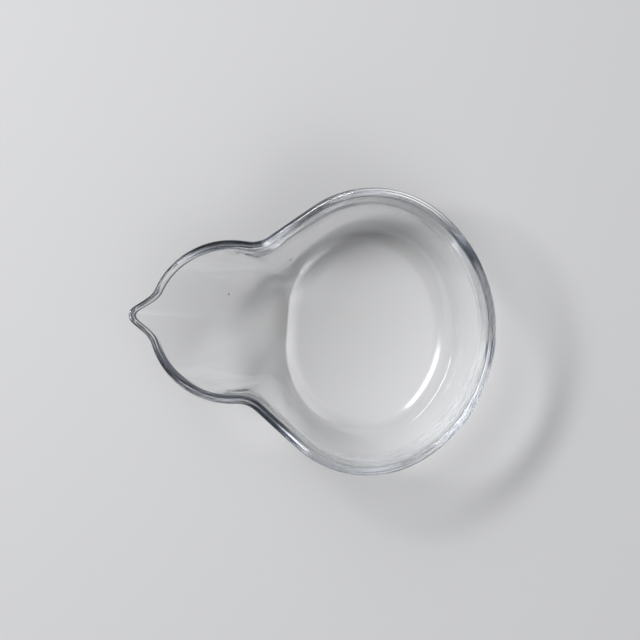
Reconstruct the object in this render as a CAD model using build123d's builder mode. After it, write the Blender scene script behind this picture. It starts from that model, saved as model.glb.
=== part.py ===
"""Clear glass pouring dish: an oval flat-based bowl that runs into a wide trough and a pointed lip.

Units are millimetres. The origin is the centre of the flat foot's underside.
+Z is up, the lip points along -X, and the dish is the same on both sides of the XZ plane.
The real dish is one piece of glass. It is held here as four sections that meet face to face.
"""
import os
from math import atan2, cos, degrees, pi, radians, sin, sqrt

from build123d import *

os.makedirs("parts", exist_ok=True)

# Plan outline at the rim: tangent arcs and two straights, as angles of the outward normal
FAR_CENTRE_X = -8.1
FAR_RADIUS = 51.0
FAR_END = 54.0
SHOULDER_RADIUS = 36.0
SHOULDER_END = 127.5
BOWL_STRAIGHT = 18.0
NECK_RADIUS = 10.0
NECK_END = 84.0
SPOUT_RADIUS = 30.0
SPOUT_END = 157.0
LIP_SHOULDER_RADIUS = 12.0
LIP_SHOULDER_END = 133.0
TIP_RADIUS = 3.0

# Heights of the rim, which drops towards the neck and bows up a little between its creases
BOWL_HEIGHT = 40.0
SPOUT_HEIGHT = 31.0
RIM_DROP_START_X = -1.0
RIM_BOW = 0.9
NECK_X = -41.5
LIP_X = -74.0
TIP_X = -81.0

# The flat foot under the bowl, and the flat floor inside it, are squarish ovals
FOOT_HALF_LENGTH = 27.5
FOOT_HALF_WIDTH = 35.0
FLOOR_CENTRE_X = -2.0
FLOOR_HALF_LENGTH = 22.0
FLOOR_HALF_WIDTH = 27.0
FLOOR_THICKNESS = 3.6
OVAL_POWER = 2.4

# The bowl's wall: a round heel up to this height, then a nearly upright wall with a small lean
OUTER_HEEL_HEIGHT = 20.0
INNER_HEEL_HEIGHT = 21.0
OUTER_LEAN = 0.03
INNER_LEAN = 0.08

# The spout's ramp: height = rim height * (share of the way from foot to lip) ** power.
# The wall eases into the ramp between two angles from +X, seen from the foot's centre.
OUTER_RAMP_POWER = 1.12
INNER_RAMP_POWER = 1.30
RAMP_START = 130.0
RAMP_END = 178.0

# The pointed lip fades into the round end of the trough below the rim, by this power
LIP_FADE_POWER = 3.0

# Wall thickness at the rim
BOWL_WALL = 3.0
LIP_WALL = 1.3
WALL_THINS_FROM_X = -58.0

# Lofted sections: points on each arc of the outline, and heights that crowd towards the foot
POINTS_PER_ARC = 5
POINTS_PER_HOLLOW = 3
LOWER_SECTIONS = 14
UPPER_SECTIONS = 4
SECTION_CROWDING = 2.2
FORM_TOP = 42.0
REACH = 120.0


def direction(angle):
    """Unit vector in plan, at an angle in degrees from +X."""
    return Vector(cos(radians(angle)), sin(radians(angle)))


def ease(value, start, end):
    """0 before start, 1 after end, and a smooth change between them."""
    share = min(max((value - start) / (end - start), 0.0), 1.0)
    return (1 - cos(pi * share)) / 2


def arc_samples(centre, radius, start, end):
    """Points on an arc with their outward normals. A negative radius is a hollow arc."""
    gaps = (POINTS_PER_ARC if radius > 0 else POINTS_PER_HOLLOW) - 1
    angles = [start + (end - start) * step / gaps for step in range(gaps + 1)]
    return [(centre + direction(angle) * radius, direction(angle)) for angle in angles]


def half_outline():
    """The +Y half of the rim's outer outline, from the bowl's far side to the lip's tip."""
    far_centre = Vector(FAR_CENTRE_X, 0)
    far = arc_samples(far_centre, FAR_RADIUS, 0, FAR_END)

    shoulder_centre = far_centre + direction(FAR_END) * (FAR_RADIUS - SHOULDER_RADIUS)
    shoulder = arc_samples(shoulder_centre, SHOULDER_RADIUS, FAR_END, SHOULDER_END)

    neck_start = shoulder[-1][0] + direction(SHOULDER_END + 90) * BOWL_STRAIGHT
    neck_centre = neck_start + direction(SHOULDER_END) * NECK_RADIUS
    neck = arc_samples(neck_centre, -NECK_RADIUS, SHOULDER_END, NECK_END)

    spout_centre = neck[-1][0] - direction(NECK_END) * SPOUT_RADIUS
    spout = arc_samples(spout_centre, SPOUT_RADIUS, NECK_END, SPOUT_END)

    lip_centre = spout[-1][0] + direction(SPOUT_END) * LIP_SHOULDER_RADIUS
    lip = arc_samples(lip_centre, -LIP_SHOULDER_RADIUS, SPOUT_END, LIP_SHOULDER_END)

    lip_end, lip_normal = lip[-1]
    straight = (lip_end.Y - TIP_RADIUS * lip_normal.Y) / -direction(LIP_SHOULDER_END + 90).Y
    tip_start = lip_end + direction(LIP_SHOULDER_END + 90) * straight
    tip = arc_samples(tip_start - lip_normal * TIP_RADIUS, TIP_RADIUS, LIP_SHOULDER_END, 180)
    return far + shoulder[1:] + neck + spout[1:], lip[1:] + tip, spout_centre


def without_lip(spout_centre, radius, angle):
    """Where the spout's side arc, carried on round the end, lies at an angle from the origin."""
    along = spout_centre.dot(direction(angle))
    across = spout_centre.length**2 - along**2
    return direction(angle) * (along + sqrt(radius**2 - across))


def oval_point(half_length, half_width, angle):
    """The point of a squarish oval about the origin that lies at an angle in degrees."""
    along = abs(direction(angle).X) / half_length
    across = abs(direction(angle).Y) / half_width
    return direction(angle) * (along**OVAL_POWER + across**OVAL_POWER) ** (-1 / OVAL_POWER)


def rim_level(x):
    """Height of the rim above the foot, before its small bows."""
    return BOWL_HEIGHT - (BOWL_HEIGHT - SPOUT_HEIGHT) * ease(-x, -RIM_DROP_START_X, -NECK_X)


def wall_at(x):
    """Wall thickness at the rim, which thins along the spout to the lip."""
    return BOWL_WALL - (BOWL_WALL - LIP_WALL) * ease(-x, -WALL_THINS_FROM_X, -TIP_X)


def way_out(height, rim_height, angle, inside):
    """Share of the way from the foot to the rim that the wall has gone at a height above its base."""
    heel_height = INNER_HEEL_HEIGHT if inside else OUTER_HEEL_HEIGHT
    lean = INNER_LEAN if inside else OUTER_LEAN
    power = INNER_RAMP_POWER if inside else OUTER_RAMP_POWER
    risen = min(height / rim_height, 1.0)
    round_heel = sqrt(1 - (1 - min(height / heel_height, 1.0)) ** 2)
    wall = (1 - lean) * round_heel + lean * risen
    ramp = risen ** (1 / power)
    return wall + (ramp - wall) * ease(angle, RAMP_START, RAMP_END)


def section(height, inside):
    """Closed outline of the outer or the inner surface at one height."""
    base = FLOOR_THICKNESS if inside else 0.0
    body, lip, spout_centre = half_outline()
    upper = []
    for rim_point, normal in body + lip:
        wall = wall_at(rim_point.X) if inside else 0.0
        is_lip = rim_point.X < body[-1][0].X
        rim_point = rim_point - normal * wall
        angle = degrees(atan2(rim_point.Y, rim_point.X))
        rim_height = rim_level(rim_point.X) - base
        if is_lip:
            round_end = without_lip(spout_centre, SPOUT_RADIUS - wall, angle)
            fade = min((height - base) / rim_height, 1.0) ** LIP_FADE_POWER
            rim_point = round_end + (rim_point - round_end) * fade
        foot_point = oval_point(FOOT_HALF_LENGTH, FOOT_HALF_WIDTH, angle)
        if inside:
            floor_point = oval_point(FLOOR_HALF_LENGTH, FLOOR_HALF_WIDTH, angle)
            foot_point = floor_point + Vector(FLOOR_CENTRE_X, 0)
        share = way_out(height - base, rim_height, angle, inside)
        upper.append(foot_point + (rim_point - foot_point) * share)
    lower = [Vector(point.X, -point.Y) for point in upper[-2:0:-1]]
    return upper + lower


def section_heights(base):
    """Heights from the base to the spout's rim, then evenly to the bowl's rim and the form's top."""
    shares = [(step / LOWER_SECTIONS) ** SECTION_CROWDING for step in range(LOWER_SECTIONS + 1)]
    heights = [base + (SPOUT_HEIGHT - base) * share for share in shares]
    rise = (BOWL_HEIGHT - SPOUT_HEIGHT) / UPPER_SECTIONS
    heights += [SPOUT_HEIGHT + rise * step for step in range(1, UPPER_SECTIONS + 1)]
    return heights + [FORM_TOP]


def form(inside):
    """Solid inside the outer or the inner surface, up to above the rim."""
    base = FLOOR_THICKNESS if inside else 0.0
    with BuildPart() as solid:
        for height in section_heights(base):
            with BuildSketch(Plane.XY.offset(height)):
                with BuildLine():
                    Spline(*section(height, inside), periodic=True)
                make_face()
        loft(ruled=True)
    return solid.part


def rim_cutter():
    """Everything above the rim's side profile, with a crease at the neck and one at the lip."""
    with BuildPart() as cutter:
        with BuildSketch(Plane.XZ):
            with BuildLine():
                drop = Spline(
                    (RIM_DROP_START_X, BOWL_HEIGHT),
                    (NECK_X, SPOUT_HEIGHT),
                    tangents=[(-1, 0), (-1, -0.35)],
                )
                spout_middle = ((NECK_X + LIP_X) / 2, SPOUT_HEIGHT + RIM_BOW)
                ThreePointArc(drop @ 1, spout_middle, (LIP_X, SPOUT_HEIGHT))
                Polyline(
                    (LIP_X, SPOUT_HEIGHT),
                    (TIP_X, SPOUT_HEIGHT + RIM_BOW),
                    (-REACH, SPOUT_HEIGHT + RIM_BOW),
                    (-REACH, REACH),
                    (REACH, REACH),
                    (REACH, BOWL_HEIGHT),
                    (RIM_DROP_START_X, BOWL_HEIGHT),
                )
            make_face()
        extrude(amount=REACH, both=True)
    return cutter.part


def region(low_x, high_x, low_z, high_z):
    """A block that takes one section out of the glass."""
    with BuildPart() as block:
        with Locations(((low_x + high_x) / 2, 0, (low_z + high_z) / 2)):
            Box(high_x - low_x, 2 * REACH, high_z - low_z)
    return block.part


# The whole piece of glass
with BuildPart() as glass:
    add(form(inside=False))
    add(form(inside=True), mode=Mode.SUBTRACT)
    add(rim_cutter(), mode=Mode.SUBTRACT)

# Flat foot and floor, with the start of the heel
with BuildPart() as base:
    add(glass.part)
    add(region(NECK_X, REACH, -REACH, FLOOR_THICKNESS), mode=Mode.INTERSECT)
base.part.label = "base"
export_step(base.part, "parts/base.step")

# Heel and wall of the bowl, open towards the spout
with BuildPart() as bowl_wall:
    add(glass.part)
    add(region(NECK_X, REACH, FLOOR_THICKNESS, REACH), mode=Mode.INTERSECT)
bowl_wall.part.label = "bowl_wall"
export_step(bowl_wall.part, "parts/bowl_wall.step")

# Rising trough between the neck creases and the lip creases
with BuildPart() as spout:
    add(glass.part)
    add(region(LIP_X, NECK_X, -REACH, REACH), mode=Mode.INTERSECT)
spout.part.label = "spout"
export_step(spout.part, "parts/spout.step")

# Thin pointed end that the liquid leaves from
with BuildPart() as pouring_lip:
    add(glass.part)
    add(region(-REACH, LIP_X, -REACH, REACH), mode=Mode.INTERSECT)
pouring_lip.part.label = "pouring_lip"
export_step(pouring_lip.part, "parts/pouring_lip.step")
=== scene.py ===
"""The looks of a clear glass pouring dish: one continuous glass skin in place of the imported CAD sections.

Lengths are metres, in the CAD frame: the origin is under the flat foot, +Z is up, the lip points along -X.
"""

from math import atan2, cos, degrees, hypot, pi, radians, sin, sqrt

import bpy
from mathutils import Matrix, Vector


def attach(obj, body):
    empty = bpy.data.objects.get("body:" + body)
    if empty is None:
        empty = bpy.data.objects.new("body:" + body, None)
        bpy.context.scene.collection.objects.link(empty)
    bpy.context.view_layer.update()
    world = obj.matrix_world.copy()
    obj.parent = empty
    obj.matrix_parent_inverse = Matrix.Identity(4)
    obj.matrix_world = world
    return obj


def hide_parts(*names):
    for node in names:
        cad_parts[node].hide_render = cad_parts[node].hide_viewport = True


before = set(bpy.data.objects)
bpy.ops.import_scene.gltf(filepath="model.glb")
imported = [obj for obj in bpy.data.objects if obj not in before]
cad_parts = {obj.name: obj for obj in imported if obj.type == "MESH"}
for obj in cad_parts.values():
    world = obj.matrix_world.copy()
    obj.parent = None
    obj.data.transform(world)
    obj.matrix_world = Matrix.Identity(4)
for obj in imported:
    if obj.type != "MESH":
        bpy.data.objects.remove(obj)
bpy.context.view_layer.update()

MM = 0.001

# Plan outline at the rim, as angles of the outward normal: the same driving sizes as the CAD sections
FAR_CENTRE_X = -8.1 * MM
FAR_RADIUS = 51.0 * MM
FAR_END = 54.0
SHOULDER_RADIUS = 36.0 * MM
SHOULDER_END = 127.5
BOWL_STRAIGHT = 18.0 * MM
NECK_RADIUS = 10.0 * MM
NECK_END = 84.0
SPOUT_RADIUS = 30.0 * MM
SPOUT_END = 157.0
LIP_SHOULDER_RADIUS = 12.0 * MM
LIP_SHOULDER_END = 133.0
TIP_RADIUS = 3.0 * MM

# Heights of the rim
BOWL_HEIGHT = 40.0 * MM
SPOUT_HEIGHT = 31.0 * MM
RIM_DROP_START_X = -1.0 * MM
RIM_BOW = 0.9 * MM
NECK_X = -41.5 * MM
LIP_X = -74.0 * MM
TIP_X = -81.0 * MM

# The oval foot outside and the oval floor inside
FOOT_HALF_LENGTH = 27.5 * MM
FOOT_HALF_WIDTH = 35.0 * MM
FLOOR_CENTRE_X = -2.0 * MM
FLOOR_HALF_LENGTH = 22.0 * MM
FLOOR_HALF_WIDTH = 27.0 * MM
FLOOR_THICKNESS = 3.6 * MM
OVAL_POWER = 2.4

# The bowl's wall: a round heel of this height, then a straight wall with a small lean
OUTER_HEEL_HEIGHT = 20.0 * MM
INNER_HEEL_HEIGHT = 21.0 * MM
OUTER_LEAN = 0.03
INNER_LEAN = 0.08

# The spout's ramp: height = rim height * (share of the way from foot to lip) ** power
OUTER_RAMP_POWER = 1.12
INNER_RAMP_POWER = 1.30
RAMP_START = 130.0
RAMP_END = 178.0
LIP_FADE_POWER = 3.0

# Wall thickness at the rim
BOWL_WALL = 3.0 * MM
LIP_WALL = 1.3 * MM
WALL_THINS_FROM_X = -58.0 * MM

# Mesh density
OUTLINE_STEP = 0.6 * MM
OUTLINE_SMOOTHING = 3
FLAT_ROWS = 6
WALL_ROWS = 56
RIM_ROWS = 12

# Share of the light that the bent glass passes on to the table. Refracted light isn't traced in this
# scene. These shares stand in for it. They were tuned until the brightness agreed with the
# photograph's, so they hold only for this key light, and they don't move if the light does.
# Below the ramp: a bright line at the foot's edge, and a darker band beside it.
HEEL_LINE = 1.5
HEEL_LINE_WIDTH = 1.1 * MM
HEEL_BAND = 0.70
HEEL_BAND_FADES_FROM = 19.2 * MM
HEEL_BAND_END = 48.0 * MM
HEEL_BAND_NARROWS_FROM = 15.0 * MM
HEEL_BAND_HALF_WIDTH = 30.0 * MM
HEEL_START = 95.0
HEEL_END = 125.0

# The rim sends some of the light away
RIM_SHARE = 0.40
SPOUT_RIM_SHARE = 0.98
RIM_BAND_FADES_FROM = 4.0 * MM
RIM_BAND_END = 8.0 * MM

# The wall towards the key light shades a crescent of the floor. Its band is measured down from the rim.
SHADED_SHARE = 0.05
SHADED_AZIMUTH = 116.0
SHADED_SPREAD = 60.0
SHADED_BAND = (5.0 * MM, 14.0 * MM, 30.0 * MM)

# The wall away from the key light throws a faint bright ring inside the rim's shadow
BRIGHT_SHARE = 1.1
BRIGHT_AZIMUTH = -30.0
BRIGHT_SPREAD = 75.0
BRIGHT_BAND = (6.0 * MM, 11.0 * MM, 17.0 * MM)

# Gains that lighten the floor, more towards its far side, and the spout
FLOOR_GATHERS = 1.09
FLOOR_TOP = 4.0 * MM
FLOOR_LIGHT_END = 16.0 * MM
FAR_SIDE_GAIN = 0.16
FAR_SIDE_AZIMUTH = -25.0
SPOUT_GATHERS = 1.25

# Share of the light that passes each face of the glass, face on and at a grazing angle. The share face
# on is above 1, because it also makes up for the light between glass and table that isn't traced.
CLEAR_SHARE = 1.05
GRAZING_SHARE = 0.50
GRAZING_START = 0.60
GRAZING_END = 0.92

# The glass: its surface colour, its faint blue-grey body colour, and how strong the body colour is
GLASS_INDEX = 1.474
GLASS_COLOUR = (1.0, 1.0, 1.0, 1.0)
BODY_COLOUR = (0.72, 0.752, 0.792, 1.0)
BODY_DENSITY = 8.0

# Roughness of the inner heel and the floor, from this length inside the rim. It is there only to soften
# the lamp's highlight: the real glass is smooth.
SOFT_FROM = 28.0 * MM
SOFT_FULL = 40.0 * MM
SOFT_ROUGHNESS = 0.16

# Fine ripples along the walls, by length along the glass from the rim's top
RIPPLE_WIDTH = 0.8 * MM
RIPPLE_LENGTH = 60.0 * MM
RIPPLE_DEPTH = 0.14 * MM
RIPPLE_START = 3.2 * MM
RIPPLE_FULL = 9.6 * MM
RIPPLE_FADES_FROM = 22.8 * MM
RIPPLE_END = 38.0 * MM

# Fine ridges along the rim, with painted dark reflections on them that stand in for the dark lines that
# real glass shows there
CORD_WIDTH = 0.55 * MM
CORD_LENGTH = 60.0 * MM
CORD_DEPTH = 0.05 * MM
PAINTED_DARK_REFLECTION_COLOUR = (0.03, 0.035, 0.05, 1.0)
DARK_REFLECTION_START = 0.52
DARK_REFLECTION_END = 0.57
CORDS_FADE_FROM = 2.56 * MM
CORDS_END = 3.2 * MM

# Painted highlights: thin white lines in the rim and the upper wall, in place of the key light's glints.
# Where they are, the glass isn't clear.
LINE_WIDTH = 0.45 * MM
LINE_LENGTH = 60.0 * MM
PAINTED_HIGHLIGHT_COLOUR = (1.0, 1.0, 1.0, 1.0)
LINE_START = 0.53
LINE_END = 0.58
LINES_FADE_FROM = 3.2 * MM
LINES_END = 11.0 * MM

# Places round the rim, as azimuth and spread, judged from the photograph: where the painted dark
# reflections gather, and where the white lines of painted highlight and the ripples show
DARK_REFLECTION_PLACES = ((45.0, 17.0), (-131.0, 24.0), (-5.0, 9.0), (-166.0, 12.0), (155.0, 10.0))
DARK_REFLECTION_GAIN = 0.20
STREAKED_PLACES = ((-35.0, 75.0), (75.0, 40.0))

# A few tiny specks on the glass. Their core is this share of their radius.
SPECK_SPACING = 21.0 * MM
SPECK_RADIUS = 0.6 * MM
SPECK_CORE = 0.6
SPECK_COLOUR = (0.36, 0.32, 0.27, 1.0)

# A length along the glass that is further from the rim than any real one
FAR_FROM_RIM = 90.0 * MM

# Camera: straight above, rolled so that the dish's length runs 4 degrees down to the right
VIEW_CENTRE = Vector((-16.1 * MM, 2.7 * MM))
VIEW_ROLL = 4.0
RIM_PLANE_WIDTH = 213.0 * MM
CAMERA_RISE = 640.0 * MM
SENSOR_WIDTH = 36.0

# Key light: a soft lamp on the upper left. Sizes and the lamps' distance are metres, powers are watts.
KEY_AZIMUTH = 154.5
KEY_ELEVATION = 51.0
KEY_WIDTH = 0.56
KEY_HEIGHT = 0.17
KEY_POWER = 8.6

# Fill light: a weak panel on the lower right
FILL_AZIMUTH = -40.0
FILL_ELEVATION = 52.0
FILL_SIZE = 0.38
FILL_POWER = 0.6
LAMP_DISTANCE = 1.2

# Studio: bright overhead and dark towards the horizon
OVERHEAD_LIGHT = (0.80, 0.805, 0.82, 1.0)
HORIZON_LIGHT = (0.015, 0.022, 0.035, 1.0)
HORIZON_TOP = 0.35
OVERHEAD_START = 0.7
STUDIO_STRENGTH = 1.45

# Dark flags on both sides of the key light's path, which the rim shows as dark lines
FLAG_AZIMUTHS = (38.0, 222.0)
FLAG_ELEVATION = 25.0
FLAG_EDGE = 0.62
FLAG_CORE = 0.80
FLAG_COLOUR = (0.012, 0.012, 0.010, 1.0)

# The table, a hair below the foot so that the two faces don't flicker
TABLE_HALF_SIZE = 3.0
TABLE_DROP = 0.02 * MM
TABLE_COLOUR = (0.62, 0.62, 0.625, 1.0)
TABLE_ROUGHNESS = 0.6

# Clear glass needs many bounces, or its thick edges go dark
LIGHT_BOUNCES = 32

# Numbers of the Mix node's colour sockets, which share their names with its other sockets
MIX_FIRST = 6
MIX_SECOND = 7
MIX_RESULT = 2


def direction(angle):
    """Unit vector in plan, at an angle in degrees from +X."""
    return Vector((cos(radians(angle)), sin(radians(angle))))


def ease(value, start, end):
    """0 before start, 1 after end, and a smooth change between them."""
    share = min(max((value - start) / (end - start), 0.0), 1.0)
    return (1 - cos(pi * share)) / 2


def arc_points(centre, radius, start, end):
    """Points along an arc between two normal angles. A negative radius is a hollow arc."""
    count = max(2, round(radians(abs(end - start)) * abs(radius) / OUTLINE_STEP))
    return [centre + direction(start + (end - start) * step / count) * radius for step in range(count)]


def straight_points(start, end):
    """Points along a straight, without its end."""
    count = max(2, round((end - start).length / OUTLINE_STEP))
    return [start.lerp(end, step / count) for step in range(count)]


def half_outline():
    """The +Y half of the rim's outer outline, from the bowl's far side to the lip's tip."""
    far_centre = Vector((FAR_CENTRE_X, 0.0))
    shoulder_centre = far_centre + direction(FAR_END) * (FAR_RADIUS - SHOULDER_RADIUS)
    shoulder_end = shoulder_centre + direction(SHOULDER_END) * SHOULDER_RADIUS
    neck_start = shoulder_end + direction(SHOULDER_END + 90) * BOWL_STRAIGHT
    neck_centre = neck_start + direction(SHOULDER_END) * NECK_RADIUS
    neck_end = neck_centre - direction(NECK_END) * NECK_RADIUS
    spout_centre = neck_end - direction(NECK_END) * SPOUT_RADIUS
    spout_end = spout_centre + direction(SPOUT_END) * SPOUT_RADIUS
    lip_centre = spout_end + direction(SPOUT_END) * LIP_SHOULDER_RADIUS
    lip_end = lip_centre - direction(LIP_SHOULDER_END) * LIP_SHOULDER_RADIUS
    lip_normal = direction(LIP_SHOULDER_END)
    lip_direction = direction(LIP_SHOULDER_END + 90)
    tip_start = lip_end + lip_direction * ((lip_end.y - TIP_RADIUS * lip_normal.y) / -lip_direction.y)
    tip_centre = tip_start - lip_normal * TIP_RADIUS

    points = arc_points(far_centre, FAR_RADIUS, 0, FAR_END)
    points += arc_points(shoulder_centre, SHOULDER_RADIUS, FAR_END, SHOULDER_END)
    points += straight_points(shoulder_end, neck_start)
    points += arc_points(neck_centre, -NECK_RADIUS, SHOULDER_END, NECK_END)
    points += arc_points(spout_centre, SPOUT_RADIUS, NECK_END, SPOUT_END)
    points += arc_points(lip_centre, -LIP_SHOULDER_RADIUS, SPOUT_END, LIP_SHOULDER_END)
    points += straight_points(lip_end, tip_start)
    points += arc_points(tip_centre, TIP_RADIUS, LIP_SHOULDER_END, 180)
    points.append(tip_centre + direction(180) * TIP_RADIUS)
    return points, spout_centre, spout_end.x


def closed_outline():
    """The whole rim outline with outward normals, its arcs eased into each other."""
    upper, spout_centre, lip_start_x = half_outline()
    lower = [Vector((point.x, -point.y)) for point in upper[-2:0:-1]]
    points = upper + lower
    count = len(points)
    for _ in range(OUTLINE_SMOOTHING):
        points = [(points[i - 1] + points[i] * 2 + points[(i + 1) % count]) / 4 for i in range(count)]
    normals = []
    for i in range(count):
        along = (points[(i + 1) % count] - points[i - 1]).normalized()
        normals.append(Vector((along.y, -along.x)))
    return points, normals, spout_centre, lip_start_x


def without_lip(spout_centre, radius, angle):
    """Where the spout's side arc, carried on round the end, lies at an angle from the origin."""
    centre = Vector((spout_centre.x, spout_centre.y if angle >= 0 else -spout_centre.y))
    along = centre.dot(direction(angle))
    across = centre.length_squared - along**2
    return direction(angle) * (along + sqrt(radius**2 - across))


def oval_point(half_length, half_width, angle):
    """The point of a squarish oval about the origin that lies at an angle in degrees."""
    along = abs(direction(angle).x) / half_length
    across = abs(direction(angle).y) / half_width
    return direction(angle) * (along**OVAL_POWER + across**OVAL_POWER) ** (-1 / OVAL_POWER)


def rim_level(x):
    """Height of the rim above the foot, before its small bows."""
    return BOWL_HEIGHT - (BOWL_HEIGHT - SPOUT_HEIGHT) * ease(-x, -RIM_DROP_START_X, -NECK_X)


def wall_at(x):
    """Wall thickness at the rim, which thins along the spout to the lip."""
    return BOWL_WALL - (BOWL_WALL - LIP_WALL) * ease(-x, -WALL_THINS_FROM_X, -TIP_X)


def rim_top(x):
    """Height of the rim with its bows: it bows up between its creases at the neck and at the lip."""
    if x >= NECK_X:
        return rim_level(x)
    if x >= LIP_X:
        share = (x - LIP_X) / (NECK_X - LIP_X)
        return SPOUT_HEIGHT + RIM_BOW * (1 - (2 * share - 1) ** 2)
    return SPOUT_HEIGHT + RIM_BOW * min((LIP_X - x) / (LIP_X - TIP_X), 1.0)


def way_out(height, rim_height, angle, inside):
    """Share of the way from the foot to the rim that the wall has gone at a height."""
    heel_height = INNER_HEEL_HEIGHT if inside else OUTER_HEEL_HEIGHT
    lean = INNER_LEAN if inside else OUTER_LEAN
    power = INNER_RAMP_POWER if inside else OUTER_RAMP_POWER
    risen = min(height / rim_height, 1.0)
    round_heel = sqrt(1 - (1 - min(height / heel_height, 1.0)) ** 2)
    wall = (1 - lean) * round_heel + lean * risen
    ramp = risen ** (1 / power)
    return wall + (ramp - wall) * ease(abs(angle), RAMP_START, RAMP_END)


class Meridian:
    """One upright line of the glass, from the foot's centre out to the rim and back in."""

    def __init__(self, rim_point, normal, spout_centre, lip_start_x):
        self.rim_point = rim_point
        self.normal = normal
        self.spout_centre = spout_centre
        self.is_lip = rim_point.x < lip_start_x
        self.top = rim_top(rim_point.x)
        self.wall = wall_at(rim_point.x)

    def surface(self, root, inside):
        """A point of the outer or inner wall. root runs evenly from 0 at the foot to 1 under the rim."""
        wall = self.wall if inside else 0.0
        rim_point = self.rim_point - self.normal * wall
        angle = degrees(atan2(rim_point.y, rim_point.x))
        base = FLOOR_THICKNESS if inside else 0.0
        height = (self.top - self.wall / 2 - base) * root**2
        rim_height = rim_level(rim_point.x) - base
        if self.is_lip:
            round_end = without_lip(self.spout_centre, SPOUT_RADIUS - wall, angle)
            fade = min(height / rim_height, 1.0) ** LIP_FADE_POWER
            rim_point = round_end + (rim_point - round_end) * fade
        foot_point = oval_point(FOOT_HALF_LENGTH, FOOT_HALF_WIDTH, angle)
        if inside:
            foot_point = oval_point(FLOOR_HALF_LENGTH, FLOOR_HALF_WIDTH, angle)
            foot_point = foot_point + Vector((FLOOR_CENTRE_X, 0.0))
        place = foot_point + (rim_point - foot_point) * way_out(height, rim_height, angle, inside)
        return Vector((place.x, place.y, base + height))

    def rows(self):
        """The line's points, without the two centre points."""
        outer = [self.surface(row / WALL_ROWS, False) for row in range(WALL_ROWS + 1)]
        inner = [self.surface(row / WALL_ROWS, True) for row in range(WALL_ROWS, -1, -1)]
        foot_flat = [self.flat(outer[0], row / FLAT_ROWS) for row in range(1, FLAT_ROWS)]
        floor_flat = [self.flat(inner[-1], row / FLAT_ROWS) for row in range(FLAT_ROWS - 1, 0, -1)]
        middle = (outer[-1] + inner[0]) / 2
        half = (outer[-1] - inner[0]) / 2
        rise = Vector((0.0, 0.0, self.wall / 2))
        rim = []
        for row in range(1, RIM_ROWS):
            turn = pi * row / RIM_ROWS
            rim.append(middle + half * cos(turn) + rise * sin(turn))
        return foot_flat + outer + rim + inner + floor_flat

    @staticmethod
    def flat(edge, share):
        """A point of the flat foot or floor, at a share of the way from its centre to its edge."""
        return Vector((edge.x * share, edge.y * share, edge.z))


def band(value, start, middle, end):
    """0 outside start to end, and 1 in the middle."""
    return ease(value, start, middle) * (1 - ease(value, middle, end))


def on_side(angle, azimuth, spread):
    """1 at an azimuth and 0 further than the spread from it."""
    return 1 - ease(abs(angle - azimuth), 0, spread)


def heel_share(point, angle):
    """The bright line at the foot's edge below the ramp, and the darker band beside it."""
    past_edge = hypot(point.x, point.y) - oval_point(FOOT_HALF_LENGTH, FOOT_HALF_WIDTH, angle).length
    line = (HEEL_LINE - 1) * (1 - ease(abs(past_edge), 0, HEEL_LINE_WIDTH))
    darker = (HEEL_BAND - 1) * ease(past_edge, 0, HEEL_LINE_WIDTH)
    darker *= 1 - ease(past_edge, HEEL_BAND_FADES_FROM, HEEL_BAND_END)
    darker *= 1 - ease(abs(point.y), HEEL_BAND_NARROWS_FROM, HEEL_BAND_HALF_WIDTH)
    return 1 + (line + darker) * ease(abs(angle), HEEL_START, HEEL_END)


def passed_light(point, below_rim, is_outer):
    """Share of the light that the glass passes on at a point of its skin."""
    angle = degrees(atan2(point.y, point.x))
    towards_neck = ease(-point.x, -RIM_DROP_START_X, -NECK_X)
    in_rim = RIM_SHARE + (SPOUT_RIM_SHARE - RIM_SHARE) * towards_neck
    share = in_rim + (1 - in_rim) * ease(below_rim, RIM_BAND_FADES_FROM, RIM_BAND_END)

    shaded = on_side(angle, SHADED_AZIMUTH, SHADED_SPREAD) * band(below_rim, *SHADED_BAND)
    share *= 1 + (SHADED_SHARE - 1) * shaded
    bright = on_side(angle, BRIGHT_AZIMUTH, BRIGHT_SPREAD) * band(below_rim, *BRIGHT_BAND)
    share *= 1 + (BRIGHT_SHARE - 1) * bright

    in_spout = ease(-point.x, FOOT_HALF_LENGTH, -NECK_X)
    in_floor = (1 - ease(point.z, FLOOR_TOP, FLOOR_LIGHT_END)) * (1 - in_spout)
    towards_far_side = point.xy.dot(direction(FAR_SIDE_AZIMUTH)) / FOOT_HALF_LENGTH
    share *= 1 + (FLOOR_GATHERS - 1 + FAR_SIDE_GAIN * towards_far_side) * in_floor
    share *= 1 + (SPOUT_GATHERS - 1) * in_spout
    if is_outer:
        share *= heel_share(point, angle)
    return share


def nearness(point, places):
    """1 at the middle of any of these places round the rim, and 0 outside them."""
    angle = degrees(atan2(point.y, point.x))
    return max(on_side(angle, azimuth, spread) for azimuth, spread in places)


def girths(line):
    """Length along an upright line of the glass at each of its points, counted from the rim's top."""
    lengths = [0.0]
    for here, there in zip(line, line[1:]):
        lengths.append(lengths[-1] + (there - here).length)
    rim_top_row = FLAT_ROWS - 1 + WALL_ROWS + RIM_ROWS // 2
    return [length - lengths[rim_top_row] for length in lengths]


def fill_attribute(mesh, name, values):
    """Give each point of the mesh one value, for the materials to read."""
    attribute = mesh.attributes.new(name, "FLOAT", "POINT")
    attribute.data.foreach_set("value", list(values))


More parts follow.
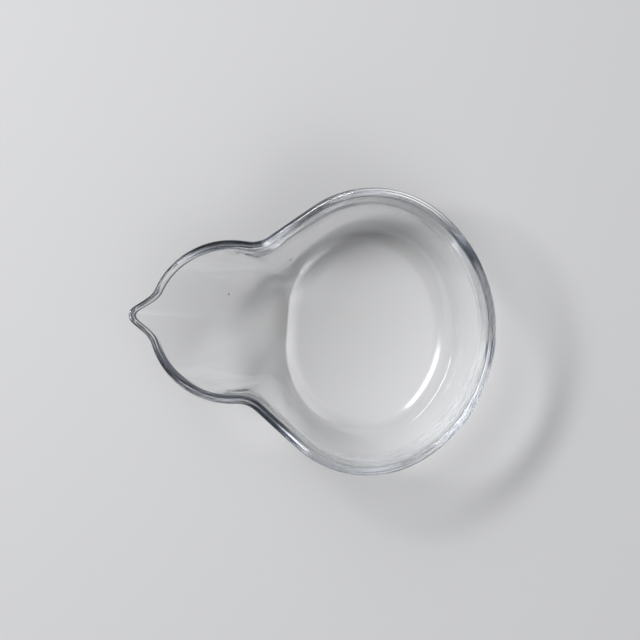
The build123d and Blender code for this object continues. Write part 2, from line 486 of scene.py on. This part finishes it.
def glass_mesh():
    """The closed glass skin."""
    points, normals, spout_centre, lip_start_x = closed_outline()
    lines = [Meridian(p, n, spout_centre, lip_start_x).rows() for p, n in zip(points, normals)]
    line_count = len(lines)
    row_count = len(lines[0])
    vertices = [point for line in lines for point in line]
    foot_centre = len(vertices)
    floor_centre = foot_centre + 1
    vertices += [Vector((0, 0, 0)), Vector((0, 0, FLOOR_THICKNESS))]
    faces = []
    for i in range(line_count):
        here = i * row_count
        there = ((i + 1) % line_count) * row_count
        faces.append((foot_centre, there, here))
        for row in range(row_count - 1):
            faces.append((here + row, there + row, there + row + 1, here + row + 1))
        faces.append((floor_centre, here + row_count - 1, there + row_count - 1))
    mesh = bpy.data.meshes.new("glass_dish")
    mesh.from_pydata([tuple(v) for v in vertices], [], faces)
    mesh.validate()
    for polygon in mesh.polygons:
        polygon.use_smooth = True
    is_outer = [row < FLAT_ROWS + WALL_ROWS for row in range(row_count)] * line_count + [False, False]
    top_heights = [rim_top(point.x) for point in points for _ in range(row_count)]
    top_heights += [rim_top(points[-1].x)] * 2
    below_rim = [top - point.z for top, point in zip(top_heights, vertices)]
    lengths = [length for line in lines for length in girths(line)]
    fill_attribute(mesh, "passed_light", map(passed_light, vertices, below_rim, is_outer))
    fill_attribute(mesh, "girth", lengths + [-FAR_FROM_RIM, FAR_FROM_RIM])
    # Places where the painted dark reflections gather, and where the ripples and the painted highlight
    # lines show
    fill_attribute(mesh, "dark_reflection_place", [nearness(point, DARK_REFLECTION_PLACES) for point in vertices])
    fill_attribute(mesh, "streaked_place", [nearness(point, STREAKED_PLACES) for point in vertices])
    return mesh


def feed(tree, value, socket):
    """Set a socket, from another node's output or from a plain value."""
    if isinstance(value, bpy.types.NodeSocket):
        tree.links.new(value, socket)
    else:
        socket.default_value = value


def mesh_value(tree, name):
    """A value that the mesh carries."""
    node = tree.nodes.new("ShaderNodeAttribute")
    node.attribute_name = name
    return node.outputs["Fac"]


def coordinates(tree, kind):
    """Places on the object, or directions in the studio."""
    return tree.nodes.new("ShaderNodeTexCoord").outputs[kind]


def map_range(tree, value, low, high, to_low, to_high):
    """Carry a value from one range to another, with a smooth change between the ends."""
    node = tree.nodes.new("ShaderNodeMapRange")
    node.interpolation_type = "SMOOTHSTEP"
    feed(tree, value, node.inputs["Value"])
    for name, number in (("From Min", low), ("From Max", high), ("To Min", to_low), ("To Max", to_high)):
        feed(tree, number, node.inputs[name])
    return node.outputs["Result"]


def calculate(tree, operation, *values):
    """A sum, product or other calculation."""
    node = tree.nodes.new("ShaderNodeMath")
    node.operation = operation
    for value, socket in zip(values, node.inputs):
        feed(tree, value, socket)
    return node.outputs["Value"]


def mix_colours(tree, factor, first, second):
    """The first colour where the factor is 0, and the second where it is 1."""
    node = tree.nodes.new("ShaderNodeMix")
    node.data_type = "RGBA"
    feed(tree, factor, node.inputs["Factor"])
    feed(tree, first, node.inputs[MIX_FIRST])
    feed(tree, second, node.inputs[MIX_SECOND])
    return node.outputs[MIX_RESULT]


def bump(tree, height, distance, normal=None):
    """Surface relief, on top of an earlier relief if there is one."""
    node = tree.nodes.new("ShaderNodeBump")
    feed(tree, height, node.inputs["Height"])
    feed(tree, distance, node.inputs["Distance"])
    if normal:
        feed(tree, normal, node.inputs["Normal"])
    return node.outputs["Normal"]


def streaks(tree, girth, width, length):
    """Noise drawn out along the rim: width across the streaks, length along them."""
    along = tree.nodes.new("ShaderNodeVectorMath")
    along.operation = "SCALE"
    feed(tree, coordinates(tree, "Object"), along.inputs["Vector"])
    feed(tree, 1 / length, along.inputs["Scale"])
    across = tree.nodes.new("ShaderNodeCombineXYZ")
    feed(tree, calculate(tree, "DIVIDE", girth, width), across.inputs["Z"])
    streaked = tree.nodes.new("ShaderNodeVectorMath")
    feed(tree, along.outputs["Vector"], streaked.inputs[0])
    feed(tree, across.outputs["Vector"], streaked.inputs[1])
    noise = tree.nodes.new("ShaderNodeTexNoise")
    feed(tree, streaked.outputs["Vector"], noise.inputs["Vector"])
    feed(tree, 1.0, noise.inputs["Scale"])
    feed(tree, 1.0, noise.inputs["Detail"])
    return noise.outputs["Fac"]


def ripple_depth(tree, from_rim):
    """Depth of the wall's ripples: none at the rim, none low on the wall."""
    fading = map_range(tree, from_rim, RIPPLE_FADES_FROM, RIPPLE_END, RIPPLE_DEPTH, 0.0)
    off_rim = map_range(tree, from_rim, RIPPLE_START, RIPPLE_FULL, 0.0, 1.0)
    depth = calculate(tree, "MULTIPLY", fading, off_rim)
    return calculate(tree, "MULTIPLY", depth, mesh_value(tree, "streaked_place"))


def painted_dark_reflections(tree, noise, in_rim):
    """Where the rim's painted dark reflections lie, along its fine ridges."""
    darkening = calculate(tree, "MULTIPLY", mesh_value(tree, "dark_reflection_place"), DARK_REFLECTION_GAIN)
    raised = calculate(tree, "ADD", noise, darkening)
    dark_reflection = map_range(tree, raised, DARK_REFLECTION_START, DARK_REFLECTION_END, 0.0, 1.0)
    return calculate(tree, "MULTIPLY", dark_reflection, in_rim)


def painted_highlight_lines(tree, girth, from_rim):
    """Where the painted highlight lines are: thin white lines in place of the key light's glints."""
    noise = streaks(tree, girth, LINE_WIDTH, LINE_LENGTH)
    line = map_range(tree, noise, LINE_START, LINE_END, 0.0, 1.0)
    near_rim = map_range(tree, from_rim, LINES_FADE_FROM, LINES_END, 1.0, 0.0)
    line = calculate(tree, "MULTIPLY", line, near_rim)
    return calculate(tree, "MULTIPLY", line, mesh_value(tree, "streaked_place"))


def specks(tree):
    """Where the tiny specks are."""
    cells = tree.nodes.new("ShaderNodeTexVoronoi")
    feed(tree, coordinates(tree, "Object"), cells.inputs["Vector"])
    feed(tree, 1 / SPECK_SPACING, cells.inputs["Scale"])
    radius = SPECK_RADIUS / SPECK_SPACING
    return map_range(tree, cells.outputs["Distance"], radius * SPECK_CORE, radius, 1.0, 0.0)


def dress_glass(tree, shader):
    """The glass's relief, its painted dark reflections, specks and painted highlight lines, and its
    smoothness.
    """
    girth = mesh_value(tree, "girth")
    from_rim = calculate(tree, "ABSOLUTE", girth)
    in_rim = map_range(tree, from_rim, CORDS_FADE_FROM, CORDS_END, 1.0, 0.0)
    ripples = bump(tree, streaks(tree, girth, RIPPLE_WIDTH, RIPPLE_LENGTH), ripple_depth(tree, from_rim))
    cord_and_dark_reflection_noise = streaks(tree, girth, CORD_WIDTH, CORD_LENGTH)
    cord_depth = calculate(tree, "MULTIPLY", in_rim, CORD_DEPTH)
    feed(tree, bump(tree, cord_and_dark_reflection_noise, cord_depth, ripples), shader.inputs["Normal"])

    # Painted highlight lines: white, and not clear glass where they lie
    lines = painted_highlight_lines(tree, girth, from_rim)
    # The rim's painted dark reflections, the specks, then the painted highlight lines
    colour = mix_colours(tree, painted_dark_reflections(tree, cord_and_dark_reflection_noise, in_rim), GLASS_COLOUR, PAINTED_DARK_REFLECTION_COLOUR)
    colour = mix_colours(tree, specks(tree), colour, SPECK_COLOUR)
    colour = mix_colours(tree, lines, colour, PAINTED_HIGHLIGHT_COLOUR)
    feed(tree, colour, shader.inputs["Base Color"])
    feed(tree, calculate(tree, "SUBTRACT", 1.0, lines), shader.inputs["Transmission Weight"])
    roughness = map_range(tree, girth, SOFT_FROM, SOFT_FULL, 0.0, SOFT_ROUGHNESS)
    feed(tree, roughness, shader.inputs["Roughness"])


def shadow_share(tree):
    """Light through a face: less at a grazing angle, times what the bent glass passes on there."""
    facing = tree.nodes.new("ShaderNodeLayerWeight")
    feed(tree, 0.5, facing.inputs["Blend"])
    turned_away = facing.outputs["Facing"]
    by_angle = map_range(tree, turned_away, GRAZING_START, GRAZING_END, CLEAR_SHARE, GRAZING_SHARE)
    return calculate(tree, "MULTIPLY", by_angle, mesh_value(tree, "passed_light"))


def clear_glass():
    """Clear glass with a faint blue-grey body, which shadow rays see as a plain filter."""
    material = bpy.data.materials.new("clear_glass")
    material.use_nodes = True
    tree = material.node_tree
    output = tree.nodes["Material Output"]
    shader = tree.nodes["Principled BSDF"]
    feed(tree, GLASS_INDEX, shader.inputs["IOR"])
    dress_glass(tree, shader)

    body = tree.nodes.new("ShaderNodeVolumeAbsorption")
    feed(tree, BODY_COLOUR, body.inputs["Color"])
    feed(tree, BODY_DENSITY, body.inputs["Density"])
    feed(tree, body.outputs["Volume"], output.inputs["Volume"])

    straight_through = tree.nodes.new("ShaderNodeBsdfTransparent")
    feed(tree, shadow_share(tree), straight_through.inputs["Color"])
    is_shadow = tree.nodes.new("ShaderNodeLightPath").outputs["Is Shadow Ray"]
    mix = tree.nodes.new("ShaderNodeMixShader")
    for value, socket in zip((is_shadow, shader.outputs[0], straight_through.outputs[0]), mix.inputs):
        feed(tree, value, socket)
    feed(tree, mix.outputs["Shader"], output.inputs["Surface"])
    return material


def make_dish():
    """The dish's one visible piece."""
    piece = bpy.data.objects.new("glass_dish", glass_mesh())
    bpy.context.collection.objects.link(piece)
    piece.data.materials.append(clear_glass())
    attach(piece, "root")
    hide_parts("base", "bowl_wall", "spout", "pouring_lip")
    return piece


def make_camera():
    """The overhead camera."""
    camera = bpy.data.cameras.new("camera")
    camera.sensor_width = SENSOR_WIDTH
    camera.lens = SENSOR_WIDTH * CAMERA_RISE / RIM_PLANE_WIDTH
    holder = bpy.data.objects.new("camera", camera)
    holder.location = (VIEW_CENTRE.x, VIEW_CENTRE.y, BOWL_HEIGHT + CAMERA_RISE)
    holder.rotation_euler = (0.0, 0.0, radians(VIEW_ROLL))
    bpy.context.collection.objects.link(holder)
    bpy.context.scene.camera = holder


def sky_direction(azimuth, elevation):
    """Unit vector towards a place in the studio."""
    along = direction(azimuth) * cos(radians(elevation))
    return Vector((along.x, along.y, sin(radians(elevation))))


def make_lamp(name, azimuth, elevation, width, height, power):
    """A panel that faces the dish."""
    lamp = bpy.data.lights.new(name, "AREA")
    lamp.shape = "RECTANGLE"
    lamp.size = width
    lamp.size_y = height
    lamp.energy = power
    holder = bpy.data.objects.new(name, lamp)
    holder.location = sky_direction(azimuth, elevation) * LAMP_DISTANCE
    holder.rotation_euler = sky_direction(azimuth, elevation).to_track_quat("Z", "Y").to_euler()
    bpy.context.collection.objects.link(holder)


def make_studio():
    """A studio that is bright overhead, dark towards the horizon and dark at its flags."""
    world = bpy.data.worlds.new("studio")
    world.use_nodes = True
    tree = world.node_tree
    place = coordinates(tree, "Generated")
    split = tree.nodes.new("ShaderNodeSeparateXYZ")
    feed(tree, place, split.inputs["Vector"])
    overhead = map_range(tree, split.outputs["Z"], HORIZON_TOP, OVERHEAD_START, 0.0, 1.0)
    colour = mix_colours(tree, overhead, HORIZON_LIGHT, OVERHEAD_LIGHT)
    for azimuth in FLAG_AZIMUTHS:
        towards_flag = tree.nodes.new("ShaderNodeVectorMath")
        towards_flag.operation = "DOT_PRODUCT"
        feed(tree, place, towards_flag.inputs[0])
        feed(tree, sky_direction(azimuth, FLAG_ELEVATION), towards_flag.inputs[1])
        flag = map_range(tree, towards_flag.outputs["Value"], FLAG_EDGE, FLAG_CORE, 0.0, 1.0)
        colour = mix_colours(tree, flag, colour, FLAG_COLOUR)
    background = tree.nodes["Background"]
    feed(tree, colour, background.inputs["Color"])
    feed(tree, STUDIO_STRENGTH, background.inputs["Strength"])
    bpy.context.scene.world = world


def make_table():
    """The plain pale table."""
    corners = [(-1, -1), (1, -1), (1, 1), (-1, 1)]
    mesh = bpy.data.meshes.new("table")
    mesh.from_pydata([(x * TABLE_HALF_SIZE, y * TABLE_HALF_SIZE, 0) for x, y in corners], [], [range(4)])
    table = bpy.data.objects.new("table", mesh)
    table.location.z = -TABLE_DROP
    bpy.context.collection.objects.link(table)
    material = bpy.data.materials.new("table")
    material.use_nodes = True
    shader = material.node_tree.nodes["Principled BSDF"]
    shader.inputs["Base Color"].default_value = TABLE_COLOUR
    shader.inputs["Roughness"].default_value = TABLE_ROUGHNESS
    table.data.materials.append(material)


def set_up_render():
    """Plain colours, no traced caustics, and enough light bounces for thick clear glass."""
    scene = bpy.context.scene
    scene.view_settings.view_transform = "Standard"
    scene.cycles.caustics_refractive = False
    scene.cycles.caustics_reflective = False
    scene.cycles.max_bounces = LIGHT_BOUNCES
    scene.cycles.transmission_bounces = LIGHT_BOUNCES
    scene.cycles.glossy_bounces = LIGHT_BOUNCES
    scene.cycles.transparent_max_bounces = LIGHT_BOUNCES


make_camera()
make_lamp("key", KEY_AZIMUTH, KEY_ELEVATION, KEY_WIDTH, KEY_HEIGHT, KEY_POWER)
make_lamp("fill", FILL_AZIMUTH, FILL_ELEVATION, FILL_SIZE, FILL_SIZE, FILL_POWER)
make_studio()
make_table()
make_dish()
set_up_render()
